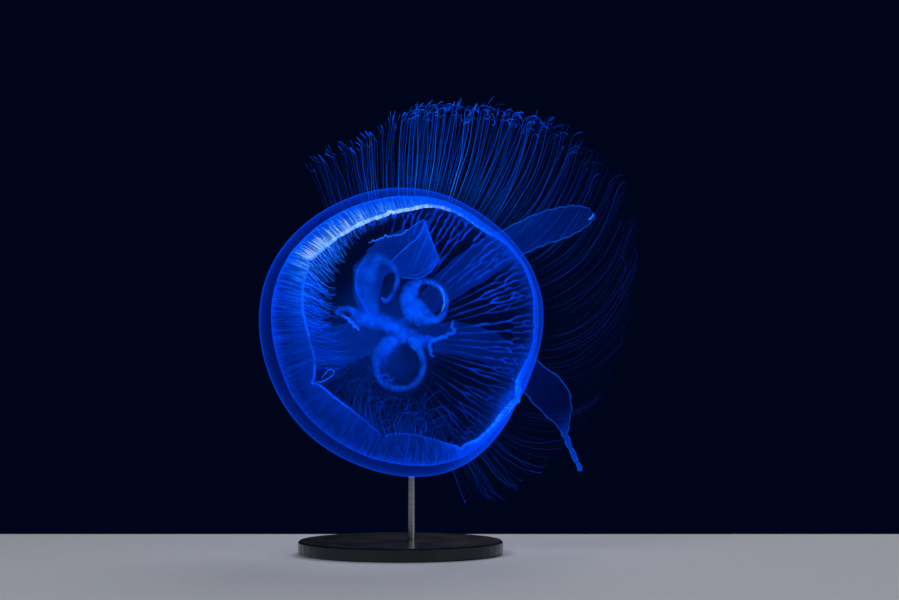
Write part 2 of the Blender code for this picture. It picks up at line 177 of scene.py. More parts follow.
place = BELL_CENTRE + Vector((BELL_ASIDE, -VIEW_DISTANCE, BELL_BELOW))
bpy.ops.object.camera_add(location=place, rotation=(math.pi / 2, 0, 0))
camera = bpy.context.object
camera.name = "camera"
camera.data.sensor_width = SENSOR
camera.data.lens = SENSOR * VIEW_DISTANCE / VIEW_WIDTH
camera.data.clip_end = SEES_AS_FAR_AS
bpy.context.scene.camera = camera

# %% [markdown]
# ## Node tools
#
# `add` makes one shader node with its settings and links, and gives back what comes out of
# it as a Value. Values can be added, multiplied and so on, so that a finish reads like the
# sum that it is. A pattern is given by the size of its lumps.

# %% Nodes
class Value:
    """What comes out of a shader node. Each sum done with it adds a Math node."""
    def __init__(self, socket):
        self.socket, self.tree = socket, socket.id_data

    def reckon(self, operation, *others, clamp=False):
        return add(self.tree, "Math", dict(enumerate((self, *others))),
                   operation=operation, use_clamp=clamp)

    __add__ = partialmethod(reckon, "ADD")
    __sub__ = partialmethod(reckon, "SUBTRACT")
    __rsub__ = partialmethod(reckon, "MULTIPLY_ADD", -1.0)
    __mul__ = partialmethod(reckon, "MULTIPLY")
    __pow__ = partialmethod(reckon, "POWER")
    __gt__ = partialmethod(reckon, "GREATER_THAN")
    __abs__ = partialmethod(reckon, "ABSOLUTE")
    clamped = partialmethod(reckon, "ADD", 0.0, clamp=True)


def linear(hex_colour):
    """sRGB hex to the linear colour that materials work in."""
    channels = [int(hex_colour[i:i + 2], 16) / 255 for i in (1, 3, 5)]
    straight = [c / 12.92 if c <= 0.04045 else ((c + 0.055) / 1.055) ** 2.4 for c in channels]
    return (*straight, 1.0)


def add(tree, kind, inputs, out=0, stops=(), **settings):
    """Adds a node: its inputs as numbers or Values, a ramp's stops, and its settings."""
    made = tree.nodes.new("ShaderNode" + kind)
    for name, value in settings.items():
        setattr(made, name, value)
    for socket, value in inputs.items():
        if isinstance(value, Value):
            tree.links.new(value.socket, made.inputs[socket])
        else:
            made.inputs[socket].default_value = value
    for _ in stops[2:]:
        made.color_ramp.elements.new(0.5)
    for number, (place, colour) in enumerate(stops):
        made.color_ramp.elements[number].position = place
        made.color_ramp.elements[number].color = linear(colour)
    return Value(made.outputs[out]) if made.outputs else None


def band(value, low, high, start=0.0, end=1.0):
    """Goes smoothly from start to end while value goes from low to high."""
    return add(value.tree, "MapRange", {
        "Value": value, "From Min": low, "From Max": high, "To Min": start, "To Max": end,
    }, interpolation_type="SMOOTHSTEP")


def relief(height, strength, depth):
    return add(height.tree, "Bump", {"Height": height, "Strength": strength, "Distance": depth})


def kept(tree, name="lie"):
    """(the kept vector, and its three parts)"""
    place = add(tree, "Attribute", {}, "Vector", attribute_name=name)
    return place, *(add(tree, "SeparateXYZ", {"Vector": place}, part) for part in "XYZ")


def grain(tree, size, detail=2.0, stretch=(1, 1, 1), place=None):
    """Noise whose lumps are about `size` across, in the object's own space."""
    place = place or add(tree, "TexCoord", {}, "Object")
    place = add(tree, "VectorMath", {0: place, 1: stretch}, operation="MULTIPLY")
    return add(tree, "TexNoise", {"Vector": place, "Scale": 1 / size, "Detail": detail})


def new_material(name):
    made = bpy.data.materials.new(name)
    made.use_nodes = True
    made.node_tree.nodes.clear()
    return made, made.node_tree


def surface(tree, inputs):
    """Ends a material in one Principled surface."""
    add(tree, "OutputMaterial", {"Surface": add(tree, "BsdfPrincipled", inputs)})


def hard_finish(name, tints, mottle, rough, bumps, scuffs=None, **others):
    """A hard surface. A mottle varies its colour and polish, and fine scuffs catch light.

    mottle and scuffs: size, detail and stretch; rough: spread and least; bumps: strength
    and depth."""
    made, tree = new_material(name)
    patches = grain(tree, *mottle)
    spread, least = rough
    surface(tree, {
        "Base Color": add(tree, "ValToRGB", {"Fac": patches}, stops=tints),
        "Roughness": patches * spread + least,
        "Normal": relief(grain(tree, *scuffs) if scuffs else patches, *bumps), **others,
    })
    return made


# %% [markdown]
# ## Floor, light and the dark behind
#
# Clear jelly shows only against something dark. The floor is a plain painted board, pale and
# matt with the faint mottle that a roller leaves. It ends a little way behind the stand, and
# beyond it the room is dark, so the jelly is seen as an aquarium shows it. The lights are
# large soft panels: one from the upper left, where the folded rim is brightest, one from the
# right and one from behind and above.

# %% Stage
FLOOR_SIZE = (1.5, 0.9)
FLOOR_BACK = 0.20
ROOM = "#01051a"
PANEL_SIZE = 0.9
LIGHTS = (
    ("upper_left_panel", (-1.1, -1.2, 1.3), 16),
    ("right_panel", (1.3, -0.9, 0.7), 7),
    ("behind_panel", (0.3, 1.2, 1.3), 12),
)
CLEAR_LAYERS = 48

bpy.ops.mesh.primitive_plane_add(size=1, location=(0, 0, 0))
floor = bpy.context.object
floor.name = "floor"
for corner in floor.data.vertices:
    corner.co.x *= FLOOR_SIZE[0]
    corner.co.y = FLOOR_BACK - (0.5 - corner.co.y) * FLOOR_SIZE[1]
floor.data.materials.append(hard_finish(
    "pale_painted_board", tints=((0.3, "#b3b7c0"), (0.7, "#b9bdc6")),
    mottle=(11.11 * MM, 3.0), rough=(0.0, 0.8), bumps=(0.05, 0.5 * MM),
))

for name, place, power in LIGHTS:
    aim = BELL_CENTRE - Vector(place)
    bpy.ops.object.light_add(
        type="AREA", location=place, rotation=aim.to_track_quat("-Z", "Y").to_euler(),
    )
    panel = bpy.context.object
    panel.name = name
    panel.data.size = PANEL_SIZE
    panel.data.energy = power

world = bpy.data.worlds.new("dark_room")
world.use_nodes = True
world.node_tree.nodes["Background"].inputs["Color"].default_value = linear(ROOM)
bpy.context.scene.world = world
bpy.context.scene.view_settings.view_transform = "Standard"
bpy.context.scene.cycles.transparent_max_bounces = CLEAR_LAYERS
bpy.ops.object.select_all(action="DESELECT")

# %% [markdown]
# ## Tools of the trade
#
# Pieces start as a primitive of the right topology and are pressed into shape point by
# point. Each point keeps where it lies on the animal, or how dense the flesh is there, and
# the materials read that, so a streak follows the flesh and not the room.

# %% Helpers
def keep(piece, values, name="lie"):
    """Stores one vector on each vertex, for the materials to read."""
    store = piece.data.attributes.new(name, "FLOAT_VECTOR", "POINT")
    store.data.foreach_set("vector", [number for value in values for number in value])


def press(piece, shape):
    """Moves each vertex to shape(its place), which also gives what to keep on it."""
    values = []
    for vertex in piece.data.vertices:
        vertex.co, lie = shape(vertex.co.copy())
        values.append(lie)
    keep(piece, values)


def pick(piece):
    bpy.ops.object.select_all(action="DESELECT")
    piece.select_set(True)
    bpy.context.view_layer.objects.active = piece


def edit_all(operator, **settings):
    """Runs one mesh operator on the whole of the picked piece."""
    bpy.ops.object.mode_set(mode="EDIT")
    bpy.ops.mesh.select_all(action="SELECT")
    operator(**settings)
    bpy.ops.object.mode_set(mode="OBJECT")


def complete(piece, name, finish, nodes):
    """Names a piece, gives it its finish, and puts it in the place of its CAD nodes."""
    pick(piece)
    edit_all(bpy.ops.mesh.normals_make_consistent, inside=False)
    bpy.ops.object.shade_smooth()
    piece.select_set(False)
    piece.name = piece.data.name = name
    piece.data.materials.clear()
    piece.data.materials.append(finish)
    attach(piece, "root")
    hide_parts(*nodes)
    print(name, len(piece.data.polygons), "faces")


def tubes(paths, sides=4):
    """Closed tapering tubes. A path is a list of (place, radius, what to keep there)."""
    curve = bpy.data.curves.new("tubes", "CURVE")
    curve.dimensions = "3D"
    curve.bevel_depth = 1.0
    curve.bevel_resolution = (sides - 4) // 2
    for path in paths:
        spline = curve.splines.new("POLY")
        spline.points.add(len(path) - 1)
        for point, (place, radius, _) in zip(spline.points, path):
            point.co = (*place, 1)
            point.radius = radius
    piece = bpy.data.objects.new("tubes", curve)
    bpy.context.collection.objects.link(piece)
    pick(piece)
    bpy.ops.object.convert(target="MESH")
    piece = bpy.context.object
    values = [lie for path in paths for _, _, lie in path for _ in range(sides)]
    assert len(values) == len(piece.data.vertices), "a tube's rings are not as counted"
    keep(piece, values)
    edit_all(bpy.ops.mesh.fill_holes, sides=sides)
    return piece


def by_angle(table, angle):
    """Reads a table of (degrees, numbers...) that goes once round the rim."""
    turn = (math.degrees(angle) - table[0][0]) % 360 + table[0][0]
    wrapped = [*table, (table[0][0] + 360, *table[0][1:])]
    for (start, *first), (end, *second) in zip(wrapped, wrapped[1:]):
        if start <= turn <= end:
            t = (turn - start) / (end - start)
            return [a + (b - a) * t for a, b in zip(first, second)]


def along_stations(stations, share):
    """Reads a list of stations as a smooth run from the first (0) to the last (1)."""
    last = len(stations) - 1
    at = min(share * last, last - 1e-9)
    here = int(at)
    t = at - here
    p0, p1 = stations[max(0, here - 1)], stations[here]
    p2, p3 = stations[here + 1], stations[min(last, here + 2)]
    found = []
    for a, b, c, d in zip(p0, p1, p2, p3):
        curve = 2 * b + (c - a) * t + (2 * a - 5 * b + 4 * c - d) * t ** 2
        curve += (3 * b - a - 3 * c + d) * t ** 3
        found.append(curve / 2)
    return found


# %% [markdown]
# ## Finish: living jelly
#
# All the flesh is mesoglea, a clear jelly that is nearly all water, and thin skins of cells
# that scatter blue light. One recipe serves it all. A wall hides what is behind it by its
# `density`, and more where it is seen edge on, because the light passes through more of it:
# that alone draws the bright outline round the bell. Round cords of tissue do the opposite
# and thin out towards their edges. `pale` whitens the blue where tissue is thick, and also
# where light is painted on, as a painted highlight. `glow` is painted light: an emission
# that shines with no lamp on it and stands for the light scattered inside.
#
# Paint on a clear shell would look like glass, and a volume would need far more light paths
# than a picture of so many fine threads can spare.

# %% Flesh
FLESH_BLUES = ((0.0, "#004eff"), (0.35, "#006aff"), (0.7, "#2e90ff"), (1.0, "#acd6ff"))
FLESH_GLOSS = {"Roughness": 0.45, "IOR": 1.36, "Specular IOR Level": 0.0}
SLANT_LIMIT = 0.04
OUTLINE_ZONE = (0.30, 0.0)


def square_on(tree):
    """1 where a surface is seen square on, 0 where it is seen edge on."""
    return 1.0 - add(tree, "LayerWeight", {"Blend": 0.5}, "Facing")


def wall(density, edge=0.0):
    """Cover of a thin wall: light that slants through it meets more of it."""
    seen = square_on(density.tree)
    clear = (1.0 - density) ** ((seen + SLANT_LIMIT) ** -1.0)
    return (band(seen, *OUTLINE_ZONE) * edge + 1.0 - clear).clamped()


def cord(density, power):
    """Cover of a round cord of tissue, which thins out towards its edges."""
    return (density * square_on(density.tree) ** power).clamped()


def flesh(cover, pale, glow, normal=None, shade=None):
    """Puts the recipe together. A shade takes the place of the blue in the room's light."""
    colour = add(cover.tree, "ValToRGB", {"Fac": pale}, stops=FLESH_BLUES)
    # The emission is painted light: a glow that shines with no lamp on it.
    inputs = {
        "Base Color": linear(shade) if shade else colour, "Alpha": cover,
        "Emission Color": colour, "Emission Strength": glow, **FLESH_GLOSS,
    }
    if normal:
        inputs["Normal"] = normal
    surface(cover.tree, inputs)


# %% [markdown]
# ## The bell
#
# One closed skin stands for the dome and all eight lobes, so no seam shows. It starts as a
# sphere. The upper rings are pressed on to the outer surface, from the crown down to the
# margin, and the lower rings on to the inner one, back up to the stomach's roof. The margin
# is notched at each sense organ, and the skirt is a little uneven, as a soft rim in moving
# water is.
#
# The skirt that swims in towards the mouth carries ring muscle and fine radial folds some
# four millimetres apart, and is cloudier than the dome. Light is painted on to it by angle,
# most at the top left, as if it were lit from there. The kept values are the cosine and sine
# of the angle round the bell, and 0 to 1 down the outside then 1 to 2 back up the inside.
# `light` keeps the painted light on the skirt, the rim and the ring where the skirt turns
# in: the more of it, the denser and paler they are drawn.
#
# SKIRT_LIGHT: degrees round the bell, painted light on the skirt and on the ring. RIM_LIGHT:
# degrees, painted light on the rim, and how white it is drawn, a painted highlight.

# %% Bell
BELL_COLUMNS, BELL_ROWS = 360, 46
NOTCH_DEPTH, NOTCH_SHARPNESS = 0.02, 24
RIPPLE = 0.9 * MM
SKIRT_SWAYS = ((2.2, 3, 1.6), (9, 4, 0.9))      # waves round, waves down and size
SKIRT_FROM = (0.6, 1.0)
LOBES = [f"margin_lobe_{number}" for number in range(1, 9)]
SKIRT_LIGHT = (
    (10, 0.20, 0.0), (40, 0.35, 0.0), (65, 0.70, 0.2), (90, 1.0, 0.4), (120, 1.25, 0.8),
    (142, 1.38, 1.2), (157, 0.80, 1.4), (180, 0.27, 1.4), (205, 0.06, 1.0), (230, 0.03, 0.8),
    (255, 0.09, 0.85), (275, 0.11, 0.85), (300, 0.34, 0.9), (320, 0.42, 0.9), (332, 0.34, 0.9),
    (345, 0.22, 0.2),
)
RIM_LIGHT = (
    (0, 0.52, 0.0), (30, 0.64, 0.1), (55, 0.90, 0.5), (80, 1.1, 0.9), (115, 1.1, 0.9),
    (135, 1.0, 0.8), (150, 0.78, 0.3), (172, 0.76, 0.3), (195, 0.64, 0.2), (228, 0.62, 0.1),
    (245, 0.20, 0.0), (265, 0.08, 0.0), (285, 0.20, 0.0), (303, 1.15, 0.35),
    (320, 1.45, 0.55), (335, 1.3, 0.35), (348, 0.64, 0.0),
)


def uneven(share, angle):
    """How far the skirt strays outwards: slow and quick waves, growing to the margin."""
    stray = 0
    for around, down, size in SKIRT_SWAYS:
        place = (around * math.cos(angle), around * math.sin(angle), down * share)
        stray += size * noise.noise(Vector(place))
    return stray * RIPPLE * smooth(share, *SKIRT_FROM)


def notched(along):
    """How much the margin draws back, `along` its way from one notch to the next."""
    return NOTCH_DEPTH * abs(2 * along - 1) ** NOTCH_SHARPNESS


def bell_surface(share, angle, depth):
    """The leaned bell's point, with its unevenness."""
    place = bell_point(share, angle, depth)
    place += Vector((math.cos(angle), math.sin(angle), 0.4)) * uneven(share, angle)
    return lean(place)


def bell_shape(place):
    place = place.normalized()
    rings = 2 * BELL_ROWS + 1
    ring = math.acos(max(-1, min(1, place.z))) / math.pi * rings
    inside = ring > BELL_ROWS + 0.5
    share = (rings - ring if inside else ring) / BELL_ROWS
    angle = math.atan2(place.y, place.x)
    _, passed, span = lobe_at(angle)
    notch = 1 - notched(passed / span) * smooth(share, DOME_ENDS, 1)
    down = 2 - share if inside else share
    world_place = to_world(bell_surface(share * notch, angle, 1.0 if inside else 0.0))
    return world_place, (math.cos(angle), math.sin(angle), down)


# %% [markdown]
# The jelly's density is a sum of layers. Each zone runs from where it begins to where it is
# full, measured from the margin (0) to the crown (1), except the girdle's, from the crown
# down. The bell's lower right side is flatter, so more jelly lies along the line of sight.

# %% Bell's jelly
SKIRT_ZONE, RING_ZONE, STOMACH_ZONE = (0.34, 0.22), (0.10, 0.22), (0.72, 0.95)
LIP_ZONE, NEAR_LIP_ZONE, GIRDLE_ZONE = (0.13, 0.0), (0.16, 0.02), (0.45, 0.75)
FLAT_WAY, FLAT_ZONE = math.radians(322), (0.80, 0.98)
FOLDS, FINE_FOLDS = (30.0, 30.0, 2.5), (62.0, 62.0, 5.0)
CREASED, FINELY_FOLDED = (0.055, 0.0, 0.0, 0.6), (0.46, 0.62, 0.0, 0.4)
CLOUD_SIZE, SPECK_SIZE, SPARKLE_SIZE = 30 * MM, 2.2 * MM, 1.3 * MM
SPECKLED, SPARKLING = (0.60, 0.72), (0.55, 0.68)
DENSITIES = {
    "cloud": 0.016, "girdle": 0.08, "ring": 0.13, "streaks": 0.13, "folds": 0.72,
    "lip": 0.28, "stomach": 0.28, "specks": 0.02, "flat": 0.16,
}
BELL_OUTLINE, BELL_GLOW = 0.40, 0.5


def bell_jelly():
    """Clear jelly, with a cloudy, finely folded skirt and a pale lip, drawn denser and paler
    where light is painted on.
    """
    made, tree = new_material("mesoglea_bell")
    place, x_way, y_way, down = kept(tree)
    _, skirt_light, rim_light, ring_light = kept(tree, "light")
    to_margin, inner = abs(down - 1.0), down > 1.0
    creases = abs(grain(tree, 1.0, 2.0, FOLDS, place) - 0.5)
    streak = band(grain(tree, 1.0, 2.0, FINE_FOLDS, place), *FINELY_FOLDED)
    streak += band(creases, *CREASED)
    cloud = grain(tree, CLOUD_SIZE, 3.0)
    skirt = band(to_margin, *SKIRT_ZONE) * inner
    girdle = band(down, *GIRDLE_ZONE) * (1.0 - inner)
    facing = x_way * math.cos(FLAT_WAY) + y_way * math.sin(FLAT_WAY)
    # The ring, streaks, folds and lip are scaled by the painted light round the bell.
    layers = {
        "cloud": cloud,
        "girdle": girdle,
        "ring": skirt * ring_light * band(to_margin, *RING_ZONE),
        "streaks": skirt * ring_light * streak,
        "folds": skirt * skirt_light * (streak * 1.5 + 0.35),
        "lip": skirt * rim_light * band(to_margin, *LIP_ZONE),
        "stomach": inner * cloud * band(to_margin, *STOMACH_ZONE),
        "specks": band(grain(tree, SPECK_SIZE), *SPECKLED),
        "flat": girdle * band(facing, *FLAT_ZONE),
    }
    density = layers.pop("cloud") * DENSITIES["cloud"]
    for name, layer in layers.items():
        density += layer * DENSITIES[name]
    sparkle = band(grain(tree, SPARKLE_SIZE), *SPARKLING)
    white = band(to_margin, *NEAR_LIP_ZONE) * 0.38 + streak * 0.28 + sparkle * 0.22 + 0.04
    # Painted highlight: the skirt is whitened most where its painted light is strongest.
    pale = skirt * skirt_light ** 2.0 * white
    normal = relief(streak * skirt, 0.3, 0.5 * MM)
    flesh(wall(density, BELL_OUTLINE), pale, BELL_GLOW, normal)
    return made


bpy.ops.mesh.primitive_uv_sphere_add(segments=BELL_COLUMNS, ring_count=2 * BELL_ROWS + 1)
bell = bpy.context.object
press(bell, bell_shape)
angles = [
    math.atan2(value.vector[1], value.vector[0]) for value in bell.data.attributes["lie"].data
]
# Painted light round the bell, read from the tables by angle and kept on each vertex.
lights = [(*by_angle(SKIRT_LIGHT, angle), *by_angle(RIM_LIGHT, angle)) for angle in angles]
keep(bell, [(skirt, rim, ring) for skirt, ring, rim, _ in lights], "light")
complete(bell, "bell", bell_jelly(), ["bell_dome", *LOBES])

# %% [markdown]
# ## Canals
#
# From the stomach, canals run out under the bell to its rim. Each forks once on the way, and
# neighbours meet and part, so near the rim they are a net of wavy bright lines with dark
# jelly between. They are drawn as real tubes that hug the roof of the hollow: a bevelled
# curve for each stretch between two forks. Their places are shares of the meridian, from
# the crown (0) to the margin (1).
#
# CANAL_LIGHT: degrees round the bell, the painted light on them (it makes them denser), and
# where they begin to show.

# %% Canals
CANAL_TRUNKS = 70
CANAL_STARTS = 0.14
CANAL_FORKS = 0.43
CANAL_ENDS = 0.84
CANAL_RADIUS = 0.92 * MM
CANAL_STEP = 0.011
CANAL_BEND = 0.06
CANAL_REJOINS = 0.42
CANAL_SWAY, CANAL_WAVES = 0.018, 16
CANAL_WIDENS, CANAL_PALES = (0.1, 0.35), (0.6, 0.84)
CANAL_SHOWS = 0.48
CANAL_DENSITY = (0.10, 0.26)
JUST_INSIDE = 1.06
CANAL_LIGHT = (
    (0, 0.92, 0.14), (45, 1.35, 0.14), (68, 1.3, 0.16), (80, 1.1, 0.26), (95, 0.8, 0.38),
    (112, 0.6, 0.38), (130, 0.4, 0.26), (150, 0.22, 0.14), (200, 0.12, 0.14),
    (230, 0.16, 0.14), (260, 0.26, 0.14), (300, 0.35, 0.14), (330, 0.56, 0.14),
)
CORD_GLOW = 0.6


def cord_finish(name, grain_size, power):
    """Cords of tissue: the kept values are density, paleness and glow."""
    made, tree = new_material(name)
    _, density, pale, glow = kept(tree)
    grains = grain(tree, grain_size, 3.0)
    density *= grains * 1.2 + 0.4
    flesh(cord(density, power), pale + (grains - 0.5) * 0.25, glow)
    return made


def canal_run(low, high, start, end, density, shows):
    """One stretch of canal, in shares of the meridian, swaying between two angles."""
    steps = max(2, round((high - low) / CANAL_STEP))
    path = []
    seed = chance.uniform(0, 500)
    for step in range(steps + 1):
        t = step / steps
        share = low + (high - low) * t
        angle = start + (end - start) * t
        sway = noise.noise(Vector((seed, share * CANAL_WAVES, 0.5)))
        angle += sway * CANAL_SWAY * smooth(share, 0.1, 0.5) * math.sin(math.pi * t) ** 0.5
        place = to_world(bell_surface(share, angle % TURN, JUST_INSIDE))
        thick = CANAL_RADIUS * (0.75 + 0.5 * smooth(share, *CANAL_WIDENS)) * (1 + 0.4 * sway)
        fade = density * (1 + 0.9 * sway) * smooth(share, shows, CANAL_SHOWS)
        fade *= 1 - 0.5 * smooth(share, *CANAL_PALES)
        path.append((place, thick, (fade, 0.0, CORD_GLOW)))
    return path


canal_paths = []
spacing = TURN / CANAL_TRUNKS
for trunk in range(CANAL_TRUNKS):
    middle = (trunk + 0.5 + chance.uniform(-0.2, 0.2)) * spacing
    shoots = [(middle, spacing, CANAL_STARTS)]
    for fork in (CANAL_FORKS, CANAL_ENDS):
        last = fork == CANAL_ENDS
        grown = []
        for angle, width, begin in shoots:
            # Painted light: a canal is drawn denser where the table lights it.
            light, shows = by_angle(CANAL_LIGHT, angle)
            look = (chance.uniform(*CANAL_DENSITY) * light, shows)
            end = fork if last else fork + chance.uniform(-0.08, 0.10)
            drift = angle + chance.uniform(-0.15, 0.15) * width
            if last and chance.random() < CANAL_REJOINS:
                meets = begin + chance.uniform(0.04, 0.14)
                beside = angle + math.copysign(width, chance.uniform(-1, 1))
                canal_paths.append(canal_run(meets, meets + CANAL_BEND, angle, beside, *look))
            canal_paths.append(canal_run(begin, end, angle, drift, *look))
            for side in () if last else (-1, 1):
                aim = drift + side * width / 4
                canal_paths.append(canal_run(end, end + CANAL_BEND, drift, aim, *look))
                grown.append((aim, width / 2, end + CANAL_BEND))
        shoots = grown
canals = tubes(canal_paths)
complete(canals, "canals", cord_finish("gastrodermis_canals", 6 * MM, 1.0), [])

# %% [markdown]
# ## Rim
#
# The rim is rolled into a soft lip with the ring canal in it. Where the rim's painted
# light is strong, it is drawn thicker, denser, paler and glowing more. Eight stretches of
# cord run from notch to notch.

# %% Rim
RIM_RADIUS = 1.5 * MM
RIM_STEPS = 70
RIM_SHARE = 0.996
RIM_LUMPS = 420                 # per metre


def rim_run(index):
    path = []
    for step in range(RIM_STEPS + 1):
        along = step / RIM_STEPS
        angle = (NOTCHES[index] + SPANS[index] * along) % TURN
        place = bell_surface(RIM_SHARE * (1 - notched(along)), angle, 0.5)
        # Painted light and painted highlight: the rim is drawn thicker, denser, paler and glowing
        # more where the table lights it.
        light, white = by_angle(RIM_LIGHT, angle)
        lump = noise.noise(place * RIM_LUMPS)
        size = RIM_RADIUS * (0.6 + 0.7 * light ** 2) * (1 + 0.35 * lump)
        look = (0.75 * light ** 1.5, white + 0.15 * lump, 0.35 + 0.6 * light)
        path.append((to_world(place), size, look))
    return path


rim = tubes([rim_run(index) for index in range(len(NOTCHES))], 8)
complete(rim, "rim_lip", cord_finish("rim_tissue", 3 * MM, 1.3), LOBES)

# %% [markdown]
# ## Tentacles
#
# Hundreds of tentacles, each finer than a millimetre, hang from the rim. From the top and
# the right they stream out behind the bell in a fan, and the drag lets their tips curl over.
# From the left they reach inwards in a short bright fringe, and at the bottom they rise and
# arch over inside the hollow. Most are so fine that they only make a haze; the stout ones
# stand out. One bevelled curve per tentacle gives its taper, and the many are one piece.
#
# FAN: degrees round the rim, where the tip is (mm right and up from the bell's middle),
# how the tip curls (degrees a step) and the painted light on it. FRINGE: degrees, way, reach
# in mm, curl and painted light. Painted light makes a tentacle denser and paler.

# %% Tentacles
STOUT, FINE, FRINGE_EXTRA = 440, 760, 300
FRINGE_SPAN = (90, 222)
FAN_KIND = SimpleNamespace(
    steps=13, curls=7, stride=(0.7, 1.9), radius=0.34 * MM, density=0.42, pale=0.75, lumps=0.0,
)
FRINGE_KIND = SimpleNamespace(
    steps=7, curls=6, stride=(0.08, 0.14), radius=0.29 * MM, density=0.58, pale=0.25, lumps=0.9,
)
ROOTED = 0.994
FINE_RADIUS = 0.2 * MM
LUMPS = 260                     # per metre
# Painted shade: fan tentacles whose painted light is below this are drawn fainter still.
FAINT_BELOW_LIGHT = 0.30
BEADED, BEAD = 0.1, 2.5
TIP, HIDDEN, BEAD_AT = (0.72, 0.9), (0.02, 0.2), (0.86, 0.95)
# Painted highlight: between these angles the fan's tips are drawn denser, paler and thicker.
TIPS_LIT = (10, 80)             # degrees round the rim
FAN_BACK = 34 * MM
FAN_FROM, FAN_TO, FAN_STRAYS = -70, 127, 3
MIXED_FROM, MIXED_SHARE = 92, 0.35              # some there hang inside the hollow
FAN_SCATTER, FAN_DEPTHS, FAN_SHORTER = 1.2, 6 * MM, 0.14
FAN_LIFT, FAN_LIFTED = 0.55, (88, 120)          # how far they turn upwards, and where
KNEE_OUT, KNEE_BACK = 0.5, 0.8
FRINGE_SCATTER, FRINGE_REACHES = 7, (0.35, 1.1)
FRINGE_DROP, FRINGE_SAG = 0.7, 0.3
CURL_SHARES, CURL_CHANGES = (0.0, 1.3), (0.5, 1.5)
WAVES, WAVERS = (0.3, 1.0), 8
STOUT_STRENGTHS, FINE_STRENGTHS = (0.25, 1.0), (0.1, 0.5)
FAN = (
    (-95, 5, -140, 0, 0.12), (-80, 36, -144, 4, 0.20), (-72, 56, -147, 6, 0.24),
    (-64, 80, -148, 6, 0.22), (-57, 100, -138, 5, 0.19), (-50, 127, -120, 5, 0.13),
    (-42, 152, -94, 6, 0.08), (-30, 186, -44, 8, 0.055), (-20, 200, 2, 12, 0.055),
    (-10, 207, 45, 12, 0.06), (0, 209, 75, 8, 0.08), (10, 205, 101, -5, 0.12),
    (20, 195, 128, -8, 0.18), (28, 180, 143, -10, 0.27), (35, 165, 158, -12, 0.33),
    (42, 146, 174, -14, 0.40), (50, 123, 188, -20, 0.58), (60, 97, 195, -28, 0.86),
    (70, 64, 199, -34, 1.1), (80, 36, 201, -32, 1.05), (90, 9, 197, -20, 1.0),
    (98, -11, 187, 4, 0.80), (105, -30, 171, 8, 0.72), (112, -46, 163, 8, 0.60),
    (120, -66, 160, 8, 0.50), (130, -84, 148, 6, 0.42),
)
FRINGE = (
    (92, -80, 4, 0, 1.2), (118, -62, 8, 0, 1.6), (130, -58, 14, 3, 1.8),
    (146, -46, 22, 6, 1.7), (165, -30, 24, 8, 1.3), (180, -18, 25, 10, 1.0),
    (198, -4, 30, 8, 0.50), (208, 20, 22, 20, 0.22), (216, 55, 22, 22, 0.12),
    (228, 78, 22, -24, 0.14), (245, 98, 23, -40, 0.38), (262, 98, 18, -42, 0.48),
    (278, 84, 14, -36, 0.36), (292, 70, 9, -14, 0.18),
)


def turned(way, degrees):
    return Matrix.Rotation(math.radians(degrees), 3, "Z") @ way


def fan_run(angle, turn, root):
    """(root, knee, tip, curl, light) of a tentacle that streams back"""
    way = math.radians(turn + chance.gauss(0, FAN_SCATTER))
    tip_x, tip_y, curl, light = by_angle(FAN, way)
    tip = Vector((tip_x * MM, tip_y * MM, root.z - FAN_BACK + chance.gauss(0, 1) * FAN_DEPTHS))
    tip = root.lerp(tip, 1 - FAN_SHORTER * chance.random() ** 1.4)
    lift = FAN_LIFT * smooth(turn, *FAN_LIFTED)
    away = Vector((math.cos(angle), math.sin(angle), 0)).lerp(Vector((0, 1, 0)), lift)
    knee = root + away.normalized() * (tip - root).length * KNEE_OUT
    knee.z = root.z - FAN_BACK * KNEE_BACK
    return root, knee, tip, curl, light


def fringe_run(angle, turn, root):
    """(root, knee, tip, curl, light) of a tentacle that hangs inside the hollow"""
    way, reach, curl, light = by_angle(FRINGE, angle)
    reach *= chance.uniform(*FRINGE_REACHES) * MM
    spin = math.radians(way + chance.gauss(0, FRINGE_SCATTER))
    tip = root + Vector((math.cos(spin), math.sin(spin), -FRINGE_DROP)) * reach
    knee = root.lerp(tip, 0.5) + Vector((0, 0, -FRINGE_SAG * reach))
    return root, knee, tip, curl, light


def tentacle_places(kind, run, stride, waver, wave):
    """Points along a tentacle: an arc that wavers a little, then the curl of its tip."""
    root, knee, tip, curl = run
    aside = turned((tip - root).normalized(), 90)
    aside.z = 0
    places = []
    for step in range(kind.steps):
        t = step / (kind.steps - 1)
        place = root * (1 - t) ** 2 + knee * 2 * t * (1 - t) + tip * t ** 2
        sway = math.sin(waver + WAVERS * t) * math.sin(math.pi * t)
        places.append(place + aside * wave * sway)
    way = (places[-1] - places[-2]).normalized()
    curl *= chance.uniform(*CURL_SHARES)
    for _ in range(kind.curls):
        way = turned(way, curl * chance.uniform(*CURL_CHANGES))
        places.append(places[-1] + way * stride)
    return places


